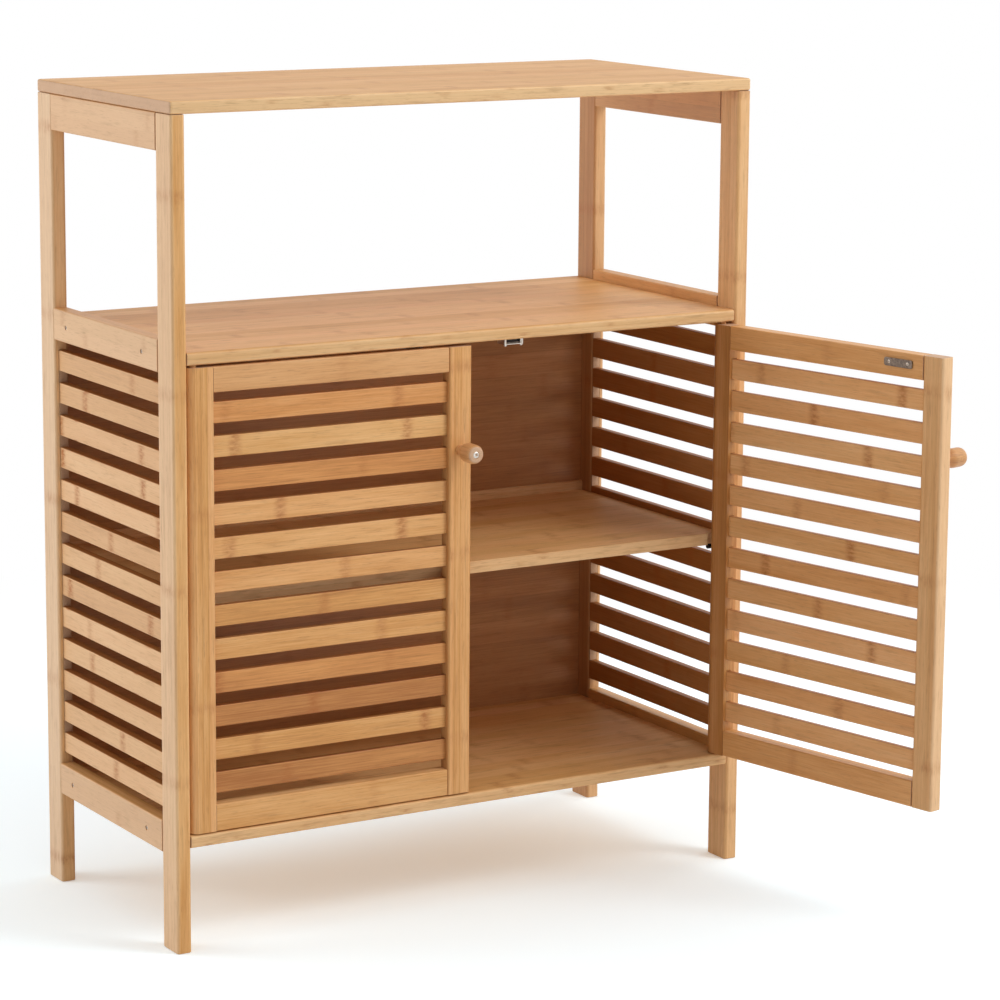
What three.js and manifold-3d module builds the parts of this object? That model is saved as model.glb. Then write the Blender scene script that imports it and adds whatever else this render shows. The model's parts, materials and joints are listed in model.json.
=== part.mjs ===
// Bamboo cabinet with an open top bay and two louvred doors.
// Millimetres, +Z up. The cabinet is drawn with its front legs' front faces on y = 0,
// its back towards +Y and its floor at z = 0, and is centred on its own bounds at the end.
import * as THREE from 'three';
import { mergeVertices } from 'three/addons/utils/BufferGeometryUtils.js';
import Module from 'manifold-3d';

const wasm = await Module();
wasm.setup();

// Overall size
const width = 636;
const depth = 296;
const height = 800;

// Gap kept between pieces that touch, and how far a cutter runs past a face
const seam = 0.3;
const overcut = 1;

// Legs
const legThickness = 15;
const legDepth = 32;
const legCornerRadius = 3;

// Boards
const boardThickness = 12;
const boardNoseRadius = 3;
const topBoardEdge = 2;
const midBoardTop = 570;
const bottomBoardTop = 113;

// Rails between the front and the back leg of each side
const topRailHeight = 35;
const sideRailHeight = 31;
const sideRailDrop = 9;
const railEdgeRadius = 1.5;

// Slats, the same height in the sides and in the doors, thicker in the sides
const slatHeight = 20.5;
const slatThickness = 6;
const sideSlatThickness = 8.5;
const slatPitch = 32;
const slatInset = 5;
const slatHousing = 3;
const slatEdgeRadius = 1.2;
const fillerSkin = 0.1;
const sideSlatCount = 13;
const doorSlatCount = 12;

// Inner shelf, its front corners cut back for the doors, and its pins
const shelfTop = 340;
const shelfFront = 18;
const shelfEndGap = 1;
const shelfCornerWidth = 14;
const shelfCornerDepth = 5;
const pinRadius = 2.5;
const pinMargin = 1.5;
const pinReach = 11.5;
const pinHoleDepth = 8;

// Back panel and the rail behind the shelf
const panelThickness = 4;
const panelSetback = 7;
const panelHousing = 4;
const backRailThickness = 5;
const backRailHeight = 22;
const backRailTop = 350;

// Doors
const doorThickness = 15;
const doorTopGap = 2.5;
const doorBottomGap = 1.2;
const doorSideGap = 1.5;
const doorMeetingGap = 2;
const stileWidth = 25;
const stileEdgeRadius = 2.5;
const doorTopRailHeight = 24;
const doorBottomRailHeight = 26;
const pivotRadius = 3.5;
const pivotDepth = 6;
const rightDoorOpening = THREE.MathUtils.degToRad(102);

// Knobs
const knobHeight = 455;
const knobLength = 30;
const knobRadius = 9.4;
const knobNeckRadius = 5.5;
const knobNeckLength = 4;
const knobFlareLength = 15;
const knobFaceRadius = 6.5;
const knobDomeLength = 6;

// Magnetic catches and the plates they hold
const catchOffset = 56;
const catchWidth = 21;
const catchDepth = 14;
const catchHeight = 9;
const catchCheek = 3;
const catchFloor = 1.5;
const catchPocket = 10;
const catchGap = 0.5;
const strikeWidth = 35;
const strikeHeight = 8;
const strikeThickness = 1.2;
const strikeLevel = 545;

// Fineness of round shapes
const cornerSteps = 3;
const roundSteps = 32;

// Places that several pieces share
const innerHalfWidth = width / 2 - legThickness;
const topBoardBottom = height - boardThickness;
const midBoardBottom = midBoardTop - boardThickness;
const shelfBottom = shelfTop - boardThickness;
const slatFaceX = width / 2 - slatInset;
const panelBack = depth - panelSetback;
const panelFront = panelBack - panelThickness;
const panelBottom = bottomBoardTop - panelHousing;
const panelTop = midBoardBottom + panelHousing;
const backRailFront = panelFront - seam - backRailThickness;
const doorTop = midBoardBottom - doorTopGap;
const doorBottom = bottomBoardTop + doorBottomGap;
const pivotX = innerHalfWidth - doorSideGap - doorThickness / 2;
const pivotY = doorThickness / 2;
const doorReach = pivotX - doorMeetingGap / 2;
const slatOffsetY = slatInset + slatThickness / 2 - doorThickness / 2;
const pinLevel = shelfBottom - seam - pinRadius;
const pinInset = legDepth - slatHousing - pinMargin - pinRadius;

const bamboo = new THREE.MeshStandardMaterial({ color: 0xd9a566, roughness: 0.5, metalness: 0 });
const zinc = new THREE.MeshStandardMaterial({ color: 0xd8d2ca, roughness: 0.35, metalness: 0.9 });
const darkSteel = new THREE.MeshStandardMaterial({ color: 0x4a4644, roughness: 0.45, metalness: 0.9 });

// A closed body for cutting and joining
function body(geometry) {
  const bare = new THREE.BufferGeometry();
  bare.setAttribute('position', geometry.getAttribute('position'));
  bare.setIndex(geometry.getIndex());
  const merged = mergeVertices(bare);
  return new wasm.Manifold(new wasm.Mesh({
    numProp: 3,
    vertProperties: merged.getAttribute('position').array,
    triVerts: new Uint32Array(merged.getIndex().array),
  }));
}

function surface(shape) {
  const mesh = shape.getMesh();
  const geometry = new THREE.BufferGeometry();
  geometry.setAttribute('position', new THREE.BufferAttribute(mesh.vertProperties, 3));
  geometry.setIndex(new THREE.BufferAttribute(mesh.triVerts, 1));
  const faceted = geometry.toNonIndexed();
  faceted.computeVertexNormals();
  return faceted;
}

function cut(geometry, cutters) {
  return surface(cutters.reduce((rest, cutter) => rest.subtract(body(cutter)), body(geometry)));
}

function join(geometries) {
  return surface(geometries.map(body).reduce((sum, next) => sum.add(next)));
}

// A box given by its two opposite corners
function block(low, high) {
  const size = new THREE.Vector3().subVectors(high, low);
  const centre = new THREE.Vector3().addVectors(low, high).multiplyScalar(0.5);
  return new THREE.BoxGeometry(size.x, size.y, size.z).translate(centre.x, centre.y, centre.z);
}

// The same box for either side of the cabinet: side is 1 on the right and -1 on the left
function sideBlock(side, low, high) {
  const inner = new THREE.Vector3(Math.min(side * low.x, side * high.x), low.y, low.z);
  const outer = new THREE.Vector3(Math.max(side * low.x, side * high.x), high.y, high.z);
  return block(inner, outer);
}

function at(x, y, z) {
  return new THREE.Vector3(x, y, z);
}

function roundedRectangle(across, along, radius) {
  const x = across / 2;
  const y = along / 2;
  const shape = new THREE.Shape();
  shape.moveTo(radius - x, -y);
  shape.lineTo(x - radius, -y);
  shape.absarc(x - radius, radius - y, radius, -Math.PI / 2, 0);
  shape.lineTo(x, y - radius);
  shape.absarc(x - radius, y - radius, radius, 0, Math.PI / 2);
  shape.lineTo(radius - x, y);
  shape.absarc(radius - x, y - radius, radius, Math.PI / 2, Math.PI);
  shape.lineTo(-x, radius - y);
  shape.absarc(radius - x, radius - y, radius, Math.PI, Math.PI * 1.5);
  return shape;
}

// A shape drawn in plan and raised by a length from z = 0
function raised(shape, length) {
  return new THREE.ExtrudeGeometry(shape, {
    depth: length,
    bevelEnabled: false,
    curveSegments: cornerSteps,
  });
}

// A rounded bar along X: its section is y by z, and it is centred on the origin
function barX(length, thickness, tall, radius) {
  const bar = raised(roundedRectangle(tall, thickness, radius), length);
  return bar.translate(0, 0, -length / 2).rotateY(Math.PI / 2);
}

// A rounded bar along Y: its section is x by z, and it is centred on the origin
function barY(length, thickness, tall, radius) {
  const bar = raised(roundedRectangle(thickness, tall, radius), length);
  return bar.translate(0, 0, -length / 2).rotateX(Math.PI / 2);
}

// Cylinders with their axis upright or along X, from the origin
function uprightCylinder(radius, length) {
  const cylinder = new THREE.CylinderGeometry(radius, radius, length, roundSteps);
  return cylinder.rotateX(Math.PI / 2).translate(0, 0, length / 2);
}

function levelCylinder(radius, length) {
  return uprightCylinder(radius, length).rotateY(Math.PI / 2);
}

function piece(name, geometry, material = bamboo) {
  const mesh = new THREE.Mesh(geometry, material);
  mesh.name = name;
  return mesh;
}

function topBoard() {
  const outline = roundedRectangle(width, depth, legCornerRadius);
  const geometry = new THREE.ExtrudeGeometry(outline, {
    depth: boardThickness - topBoardEdge * 2,
    bevelThickness: topBoardEdge,
    bevelSize: topBoardEdge,
    bevelOffset: -topBoardEdge,
    bevelSegments: cornerSteps,
    curveSegments: cornerSteps,
  });
  const board = piece('top_board', geometry);
  board.position.set(0, depth / 2, topBoardBottom + topBoardEdge);
  return board;
}

// Lowest and highest z of a row of slats centred between two rails
function slatRow(low, high, count) {
  const centre = (low + high) / 2;
  const reach = (slatPitch * (count - 1) + slatHeight) / 2;
  return { bottom: centre - reach, top: centre + reach };
}

function slatLevels(row, count) {
  return Array.from({ length: count }, (_, i) => row.bottom + slatHeight / 2 + slatPitch * i);
}

const sideRow = slatRow(
  bottomBoardTop - boardThickness - sideRailDrop + sideRailHeight,
  midBoardBottom - sideRailDrop,
  sideSlatCount,
);
const doorRow = slatRow(doorBottom + doorBottomRailHeight, doorTop - doorTopRailHeight, doorSlatCount);

// The groove in a leg for the ends of the side slats: end is 0 for a front leg, 1 for a back leg
function slatGroove(side, end) {
  const face = end ? depth - legDepth : legDepth;
  const inwards = end ? slatHousing + seam : overcut;
  const outwards = end ? overcut : slatHousing + seam;
  return sideBlock(
    side,
    at(slatFaceX - sideSlatThickness - seam, face - outwards, sideRow.bottom - seam),
    at(slatFaceX + seam, face + inwards, sideRow.top + seam),
  );
}

function pinHole(side, end) {
  const y = end ? depth - pinInset : pinInset;
  const hole = levelCylinder(pinRadius + seam, pinHoleDepth + overcut);
  hole.translate(innerHalfWidth - overcut, y, pinLevel);
  return side > 0 ? hole : hole.rotateZ(Math.PI).translate(0, y * 2, 0);
}

function panelGroove(side) {
  return sideBlock(
    side,
    at(innerHalfWidth - overcut, panelFront - seam, panelBottom - seam),
    at(innerHalfWidth + panelHousing + seam, panelBack + seam, panelTop + seam),
  );
}

function leg(name, side, end) {
  const outline = roundedRectangle(legThickness, legDepth, legCornerRadius);
  const post = raised(outline, topBoardBottom - seam);
  const x = side * (width - legThickness) / 2;
  const y = end ? depth - legDepth / 2 : legDepth / 2;
  post.translate(x, y, 0);
  const cutters = [slatGroove(side, end), pinHole(side, end)];
  if (end) cutters.push(panelGroove(side));
  return piece(name, cut(post, cutters));
}

function sideRail(name, side, bottom, tall) {
  const length = depth - (legDepth + seam) * 2;
  const rail = piece(name, barY(length, legThickness, tall, railEdgeRadius));
  rail.position.set(side * (width - legThickness) / 2, depth / 2, bottom + tall / 2);
  return rail;
}

// The slats of one side, held together by a filler strip in each leg's groove
function sideSlats(name, side) {
  const length = depth - (legDepth - slatHousing) * 2;
  const slats = slatLevels(sideRow, sideSlatCount).map((level) => (
    barY(length, sideSlatThickness, slatHeight, slatEdgeRadius).translate(0, 0, level)
  ));
  const strips = [-1, 1].map((end) => {
    const outer = end * length / 2;
    const inner = end * (length / 2 - slatHousing);
    return block(
      at(fillerSkin - sideSlatThickness / 2, Math.min(inner, outer), sideRow.bottom + slatEdgeRadius),
      at(sideSlatThickness / 2 - fillerSkin, Math.max(inner, outer), sideRow.top - slatEdgeRadius),
    );
  });
  const set = piece(name, join([...slats, ...strips]));
  set.position.set(side * (slatFaceX - sideSlatThickness / 2), depth / 2, 0);
  return set;
}

// A board between the legs, housed over the back panel and bored for the door pivots.
// facing is 1 where those cuts are in its top face and -1 where they are in its underside.
function housedBoard(name, top, facing) {
  const length = (innerHalfWidth - seam) * 2;
  const plank = barX(length, depth, boardThickness, boardNoseRadius);
  const face = facing * boardThickness / 2;
  const floor = face - facing * (panelHousing + seam);
  const groove = block(
    at(-innerHalfWidth, panelFront - seam - depth / 2, Math.min(floor, face + facing * overcut)),
    at(innerHalfWidth, panelBack + seam - depth / 2, Math.max(floor, face + facing * overcut)),
  );
  const pivotHoles = [-1, 1].map((side) => {
    const hole = uprightCylinder(pivotRadius + seam, pivotDepth + seam + overcut);
    const bottom = facing > 0 ? face - pivotDepth - seam : face - overcut;
    return hole.translate(side * pivotX, pivotY - depth / 2, bottom);
  });
  const board = piece(name, cut(plank, [groove, ...pivotHoles]));
  board.position.set(0, depth / 2, top - boardThickness / 2);
  return board;
}

// Half of the shelf's outline, from the middle of its front edge round to the middle of its back
function shelfHalf() {
  const end = slatFaceX - sideSlatThickness - shelfEndGap;
  const legFace = innerHalfWidth - shelfEndGap;
  const back = backRailFront - seam;
  return [
    [legFace - shelfCornerWidth, shelfFront],
    [legFace - shelfCornerWidth, shelfFront + shelfCornerDepth],
    [legFace, shelfFront + shelfCornerDepth],
    [legFace, legDepth + shelfEndGap],
    [end, legDepth + shelfEndGap],
    [end, depth - legDepth - shelfEndGap],
    [legFace, depth - legDepth - shelfEndGap],
    [legFace, back],
  ];
}

function innerShelf() {
  const right = shelfHalf().map(([x, y]) => new THREE.Vector2(x, y));
  const left = shelfHalf().reverse().map(([x, y]) => new THREE.Vector2(-x, y));
  const shelf = piece('inner_shelf', raised(new THREE.Shape([...right, ...left]), boardThickness));
  shelf.position.z = shelfBottom;
  return shelf;
}

function shelfPin(name, side, end) {
  const pin = piece(name, levelCylinder(pinRadius, pinReach + pinHoleDepth - seam), darkSteel);
  pin.rotation.z = side > 0 ? 0 : Math.PI;
  pin.position.set(side * (innerHalfWidth - pinReach), end ? depth - pinInset : pinInset, pinLevel);
  return pin;
}

function backPanel() {
  const reach = innerHalfWidth + panelHousing;
  return piece('back_panel', block(
    at(-reach, panelFront, panelBottom),
    at(reach, panelBack, panelTop),
  ));
}

function backRail() {
  const length = (innerHalfWidth - seam) * 2;
  const rail = piece('back_rail', barX(length, backRailThickness, backRailHeight, railEdgeRadius));
  rail.position.set(0, backRailFront + backRailThickness / 2, backRailTop - backRailHeight / 2);
  return rail;
}

// A shell under the middle board, open towards the door and to the board above it
function magneticCatch(name, side) {
  const front = doorThickness + seam + strikeThickness + catchGap;
  const shell = block(at(-catchWidth / 2, 0, -catchHeight), at(catchWidth / 2, catchDepth, 0));
  const pocket = block(
    at(catchCheek - catchWidth / 2, -overcut, catchFloor - catchHeight),
    at(catchWidth / 2 - catchCheek, catchPocket, overcut),
  );
  const magnet = piece(name, cut(shell, [pocket]), zinc);
  magnet.position.set(side * catchOffset, front, midBoardBottom - seam);
  return magnet;
}

// Door pieces are drawn with the pivot's axis at the origin and the door's front towards -Y.
// out turns a distance from the pivot into a local x, since each door reaches away from its side.
function stileMortises(side, face, towards) {
  const out = -side;
  return slatLevels(doorRow, doorSlatCount).map((level) => {
    const near = out * (face + towards * overcut);
    const far = out * (face - towards * (slatHousing + seam));
    return block(
      at(Math.min(near, far), slatOffsetY - slatThickness / 2 - seam, level - slatHeight / 2 - seam),
      at(Math.max(near, far), slatOffsetY + slatThickness / 2 + seam, level + slatHeight / 2 + seam),
    );
  });
}

// The hinge stile has a half-round edge about the pivot and a round pivot at each end
function hingeStile(name, side) {
  const out = -side;
  const half = doorThickness / 2;
  const face = stileWidth - half;
  const outline = new THREE.Shape();
  outline.moveTo(out * face, -half);
  outline.lineTo(0, -half);
  outline.absarc(0, 0, half, -Math.PI / 2, Math.PI / 2, out > 0);
  outline.lineTo(out * face, half);
  const rounded = new THREE.ExtrudeGeometry(outline, {
    depth: doorTop - doorBottom,
    bevelEnabled: false,
    curveSegments: roundSteps / 2,
  });
  rounded.translate(0, 0, doorBottom);
  const pivotBottom = bottomBoardTop - pivotDepth;
  const pivotLength = midBoardBottom + pivotDepth - pivotBottom;
  const pivot = uprightCylinder(pivotRadius, pivotLength).translate(0, 0, pivotBottom);
  return piece(name, cut(join([rounded, pivot]), stileMortises(side, face, 1)));
}

function freeStile(name, side) {
  const out = -side;
  const face = doorReach - stileWidth;
  const post = raised(roundedRectangle(stileWidth, doorThickness, stileEdgeRadius), doorTop - doorBottom);
  post.translate(out * (doorReach - stileWidth / 2), 0, doorBottom);
  return piece(name, cut(post, stileMortises(side, face, -1)));
}

// A bar between the stiles; housing is how far each end goes into them
function doorBar(name, side, level, thickness, tall, radius, offsetY, housing) {
  const start = stileWidth - doorThickness / 2;
  const end = doorReach - stileWidth;
  const bar = piece(name, barX(end - start + housing * 2, thickness, tall, radius));
  bar.position.set(-side * (start + end) / 2, offsetY, level);
  return bar;
}

function knob(name, side) {
  const profile = [
    new THREE.Vector2(0, 0),
    new THREE.Vector2(knobNeckRadius, 0),
    new THREE.Vector2(knobNeckRadius, knobNeckLength),
    new THREE.Vector2((knobNeckRadius + knobRadius) / 2, (knobNeckLength + knobFlareLength) / 2),
    new THREE.Vector2(knobRadius, knobFlareLength),
    new THREE.Vector2(knobRadius, knobLength - knobDomeLength),
  ];
  for (let step = 1; step <= cornerSteps; step += 1) {
    const turn = step / cornerSteps * Math.PI / 2;
    profile.push(new THREE.Vector2(
      knobFaceRadius + (knobRadius - knobFaceRadius) * Math.cos(turn),
      knobLength - knobDomeLength + knobDomeLength * Math.sin(turn),
    ));
  }
  profile.push(new THREE.Vector2(0, knobLength));
  const turned = piece(name, new THREE.LatheGeometry(profile, roundSteps));
  turned.rotation.x = Math.PI;
  turned.position.set(-side * (doorReach - stileWidth / 2), -doorThickness / 2 - seam, knobHeight);
  return turned;
}

function strikePlate(name, side) {
  const plate = piece(name, new THREE.BoxGeometry(strikeWidth, strikeThickness, strikeHeight), darkSteel);
  const y = doorThickness / 2 + seam + strikeThickness / 2;
  plate.position.set(-side * (pivotX - catchOffset), y, strikeLevel);
  return plate;
}

function door(label, side, opening) {
  const leaf = new THREE.Group();
  leaf.name = `${label}_door`;
  leaf.add(hingeStile(`${label}_door_hinge_stile`, side));
  leaf.add(freeStile(`${label}_door_free_stile`, side));
  const topLevel = doorTop - doorTopRailHeight / 2;
  const bottomLevel = doorBottom + doorBottomRailHeight / 2;
  leaf.add(doorBar(`${label}_door_top_rail`, side, topLevel, doorThickness, doorTopRailHeight,
    railEdgeRadius, 0, -seam));
  leaf.add(doorBar(`${label}_door_bottom_rail`, side, bottomLevel, doorThickness, doorBottomRailHeight,
    railEdgeRadius, 0, -seam));
  slatLevels(doorRow, doorSlatCount).forEach((level, i) => {
    leaf.add(doorBar(`${label}_door_slat_${i + 1}`, side, level, slatThickness, slatHeight,
      slatEdgeRadius, slatOffsetY, slatHousing));
  });
  leaf.add(knob(`${label}_door_knob`, side));
  leaf.add(strikePlate(`${label}_door_strike`, side));
  leaf.position.set(side * pivotX, pivotY, 0);
  leaf.rotation.z = side * opening;
  return leaf;
}

function cabinet() {
  const group = new THREE.Group();
  group.add(topBoard());
  group.add(housedBoard('mid_board', midBoardTop, -1));
  group.add(housedBoard('bottom_board', bottomBoardTop, 1));
  group.add(innerShelf());
  group.add(backPanel());
  group.add(backRail());
  [['left', -1], ['right', 1]].forEach(([label, side]) => {
    [['front', 0], ['back', 1]].forEach(([place, end]) => {
      group.add(leg(`leg_${place}_${label}`, side, end));
      group.add(shelfPin(`shelf_pin_${place}_${label}`, side, end));
    });
    const midRailBottom = midBoardBottom - sideRailDrop;
    const bottomRailBottom = bottomBoardTop - boardThickness - sideRailDrop;
    const topRailBottom = topBoardBottom - topRailHeight;
    group.add(sideRail(`top_rail_${label}`, side, topRailBottom, topRailHeight - seam));
    group.add(sideRail(`mid_rail_${label}`, side, midRailBottom, sideRailHeight));
    group.add(sideRail(`bottom_rail_${label}`, side, bottomRailBottom, sideRailHeight));
    group.add(sideSlats(`side_slats_${label}`, side));
    group.add(magneticCatch(`magnetic_catch_${label}`, side));
  });
  group.add(door('left', -1, 0));
  group.add(door('right', 1, rightDoorOpening));
  return group;
}

const part = new THREE.Group();
const standing = cabinet();
part.add(standing);
part.updateMatrixWorld(true);
const centre = new THREE.Box3().setFromObject(part, true).getCenter(at(0, 0, 0));
standing.position.set(-centre.x, -centre.y, 0);

export default part;
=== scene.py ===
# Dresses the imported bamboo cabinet: eased edges, laminated bamboo, screws, catches and a white studio.
import json
import math

import bmesh
import bpy
from mathutils import Matrix, Vector


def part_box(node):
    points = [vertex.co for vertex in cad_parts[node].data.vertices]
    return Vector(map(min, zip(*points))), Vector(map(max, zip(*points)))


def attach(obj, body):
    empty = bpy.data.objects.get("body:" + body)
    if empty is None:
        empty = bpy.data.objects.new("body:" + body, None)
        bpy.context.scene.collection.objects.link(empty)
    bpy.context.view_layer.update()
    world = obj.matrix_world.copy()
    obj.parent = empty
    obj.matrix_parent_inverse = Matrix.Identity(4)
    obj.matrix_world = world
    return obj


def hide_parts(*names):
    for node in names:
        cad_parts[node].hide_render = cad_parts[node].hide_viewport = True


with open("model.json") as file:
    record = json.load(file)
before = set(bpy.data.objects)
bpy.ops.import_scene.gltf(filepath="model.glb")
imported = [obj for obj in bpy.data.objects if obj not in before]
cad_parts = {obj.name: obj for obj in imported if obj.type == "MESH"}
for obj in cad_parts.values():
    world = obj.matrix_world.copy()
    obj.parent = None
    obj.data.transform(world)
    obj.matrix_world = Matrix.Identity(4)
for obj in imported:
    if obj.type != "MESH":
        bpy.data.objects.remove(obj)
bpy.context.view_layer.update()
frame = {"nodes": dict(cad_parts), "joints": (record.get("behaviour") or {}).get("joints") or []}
mm = 0.001
print("frame loaded:", len(frame["nodes"]), "pieces")


# Small helpers

def hexToLinear(text):
    values = [int(text[i:i + 2], 16) / 255 for i in (1, 3, 5)]
    linear = [v / 12.92 if v <= 0.04045 else ((v + 0.055) / 1.055) ** 2.4 for v in values]
    return (*linear, 1.0)


def addNode(tree, kind, settings, inputs):
    # inputs maps a socket's name or number to a value, an output or a node, whose first live output is used
    node = tree.nodes.new(kind)
    for name, value in settings.items():
        setattr(node, name, value)
    for name, value in inputs.items():
        if isinstance(value, bpy.types.Node):
            value = next(output for output in value.outputs if output.enabled)
        if isinstance(value, bpy.types.NodeSocket):
            tree.links.new(value, node.inputs[name])
        else:
            node.inputs[name].default_value = value
    return node


def soloSelect(piece):
    bpy.ops.object.select_all(action="DESELECT")
    piece.select_set(True)
    bpy.context.view_layer.objects.active = piece


def editMesh(piece, kind="EDGE"):
    soloSelect(piece)
    bpy.ops.object.mode_set(mode="EDIT")
    bpy.ops.mesh.select_mode(type=kind)
    bpy.ops.mesh.select_all(action="DESELECT")
    return bmesh.from_edit_mesh(piece.data)


def pick(piece, things, wanted):
    for thing in things:
        thing.select_set(wanted(thing))
    bmesh.update_edit_mesh(piece.data)


def leaveEdit():
    bpy.ops.object.mode_set(mode="OBJECT")


def smoothShading(piece, angle=50):
    soloSelect(piece)
    bpy.ops.object.shade_smooth_by_angle(angle=math.radians(angle))
    even = piece.modifiers.new("even shading", "WEIGHTED_NORMAL")
    even.keep_sharp = True
    bpy.ops.object.modifier_apply(modifier=even.name)


def recalculated(piece):
    editMesh(piece, "FACE")
    bpy.ops.mesh.select_all(action="SELECT")
    bpy.ops.mesh.normals_make_consistent(inside=False)
    leaveEdit()


def placed(piece):
    # the object goes to the origin, its place into its mesh
    soloSelect(piece)
    bpy.ops.object.transform_apply(location=True, rotation=True, scale=True)
    return piece


def finished(piece, material, body):
    piece.data.materials.clear()
    piece.data.materials.append(material)
    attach(piece, body)
    return piece


# Camera, placed by matching the photograph's corners

cameraSettings = {
    "place": (-1.74379, -2.90062, 1.06436),
    "turnDegrees": (79.70354, -0.39688, -30.93002),
    "lens": 127.883,
    "shiftY": -0.05,  # the photograph's uprights hardly converge
}


def addCamera(settings):
    data = bpy.data.cameras.new("camera")
    data.sensor_width = 36
    data.lens = settings["lens"]
    data.shift_y = settings["shiftY"]
    data.clip_end = 60
    camera = bpy.data.objects.new("camera", data)
    camera.location = settings["place"]
    camera.rotation_euler = [math.radians(a) for a in settings["turnDegrees"]]
    bpy.context.scene.collection.objects.link(camera)
    bpy.context.scene.camera = camera


addCamera(cameraSettings)


# White studio: a soft surround, two keys from the right front, fills from both sides,
# and a pale floor that keeps the shadow

studioSettings = {
    "surround": 0.03,
    "surroundExtra": (((1, 0, 0), 0.2), ((0, 0, 1), 0.88)),  # brighter from the right and from above
    "backdrop": 1.0,
    "floorSize": 40,
    "floorDrop": 0.2 * mm,
    "floorColour": "#f4f3f0",
    "seenColour": "#def2fc",  # cooler than what it bounces, against the cabinet's warm glow
    "seenLift": "#9f9289",
    "shadowReach": (0.75, 1.6),  # metres from the middle over which the shadow gives way to white
}
lampSettings = {  # metres and watts
    "key": {"place": (1.4, -1.8, 2.6), "size": 1.0, "power": 25, "colour": "#ffffff"},
    "wideKey": {"place": (2.6, -2.4, 2.0), "size": 1.6, "power": 32, "colour": "#ffffff"},
    "sideFill": {"place": (-2.6, 1.6, 1.1), "size": 1.6, "power": 35, "colour": "#ffffff"},
    "farSideFill": {"place": (3.0, 0.5, 1.3), "size": 1.4, "power": 13, "colour": "#ffffff"},
}


def seenRays(tree):
    # 1 for the rays that show the background itself: the camera's, and those of gloss and glass
    path = addNode(tree, "ShaderNodeLightPath", {}, {})
    seen = addNode(tree, "ShaderNodeMath", {"operation": "MAXIMUM"},
                   {0: path.outputs["Is Camera Ray"], 1: path.outputs["Is Glossy Ray"]})
    return addNode(tree, "ShaderNodeMath", {"operation": "MAXIMUM"},
                   {0: seen, 1: path.outputs["Is Transmission Ray"]})


def addSurround(settings):
    world = bpy.data.worlds.new("studio surround")
    bpy.context.scene.world = world
    world.use_nodes = True
    tree = world.node_tree
    tree.nodes.clear()
    glow = settings["surround"]
    where = addNode(tree, "ShaderNodeTexCoord", {}, {}).outputs["Generated"]
    for axis, strength in settings["surroundExtra"]:
        towards = addNode(tree, "ShaderNodeVectorMath", {"operation": "DOT_PRODUCT"}, {0: where, 1: axis})
        towards = addNode(tree, "ShaderNodeMath", {"operation": "MAXIMUM"}, {0: towards, 1: 0.0})
        glow = addNode(tree, "ShaderNodeMath", {"operation": "MULTIPLY_ADD"},
                       {0: towards, 1: strength, 2: glow})
    dim = addNode(tree, "ShaderNodeBackground", {}, {"Color": (1, 1, 1, 1), "Strength": glow})
    white = addNode(tree, "ShaderNodeBackground", {},
                    {"Color": (1, 1, 1, 1), "Strength": settings["backdrop"]})
    both = addNode(tree, "ShaderNodeMixShader", {},
                   {0: seenRays(tree), 1: dim.outputs[0], 2: white.outputs[0]})
    addNode(tree, "ShaderNodeOutputWorld", {}, {"Surface": both.outputs[0]})


def addFloor(settings):
    bpy.ops.mesh.primitive_plane_add(size=settings["floorSize"], location=(0, 0, -settings["floorDrop"]))
    floor = placed(bpy.context.object)
    floor.name = "floor"
    # matt white paper, unrolled without a fold: an even ground with no horizon, which only the shadow marks
    paper = bpy.data.materials.new("white studio paper")
    paper.use_nodes = True
    tree = paper.node_tree
    tree.nodes.clear()
    plain = addNode(tree, "ShaderNodeBsdfDiffuse", {}, {"Color": hexToLinear(settings["floorColour"])})
    cool = addNode(tree, "ShaderNodeBsdfDiffuse", {}, {"Color": hexToLinear(settings["seenColour"])})
    lift = addNode(tree, "ShaderNodeEmission", {},
                   {"Color": hexToLinear(settings["seenLift"]), "Strength": 1.0})
    lifted = addNode(tree, "ShaderNodeAddShader", {}, {0: cool.outputs[0], 1: lift.outputs[0]})
    white = addNode(tree, "ShaderNodeEmission", {}, {"Color": (1, 1, 1, 1), "Strength": 1.0})
    where = addNode(tree, "ShaderNodeTexCoord", {}, {})
    distance = addNode(tree, "ShaderNodeVectorMath", {"operation": "LENGTH"}, {0: where.outputs["Object"]})
    near, far = settings["shadowReach"]
    fade = addNode(tree, "ShaderNodeMapRange", {"interpolation_type": "SMOOTHSTEP"},
                   {"Value": distance.outputs["Value"], "From Min": near, "From Max": far})
    seen = addNode(tree, "ShaderNodeMixShader", {},
                   {0: fade.outputs[0], 1: lifted.outputs[0], 2: white.outputs[0]})
    both = addNode(tree, "ShaderNodeMixShader", {}, {0: seenRays(tree), 1: plain, 2: seen})
    addNode(tree, "ShaderNodeOutputMaterial", {}, {"Surface": both.outputs[0]})
    floor.data.materials.append(paper)


def addLamp(name, settings):
    data = bpy.data.lights.new(name, "AREA")
    data.size = settings["size"]
    data.energy = settings["power"]
    data.color = hexToLinear(settings["colour"])[:3]
    lamp = bpy.data.objects.new(name, data)
    lamp.location = settings["place"]
    aim = Vector((0, 0, 0.4)) - Vector(settings["place"])  # half way up the cabinet
    lamp.rotation_euler = aim.to_track_quat("-Z", "Y").to_euler()
    bpy.context.scene.collection.objects.link(lamp)


bpy.context.scene.view_settings.view_transform = "Standard"
addSurround(studioSettings)
addFloor(studioSettings)
for name, settings in lampSettings.items():
    addLamp(name, settings)
print("studio ready")


# Lacquered laminated bamboo: strips glued side by side and in layers, each strip from another cane.
# It gives the eye straight fine fibres, a brown ring at each old leaf joint, short dark dashes,
# dots on the end grain and a soft satin sheen.

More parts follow.
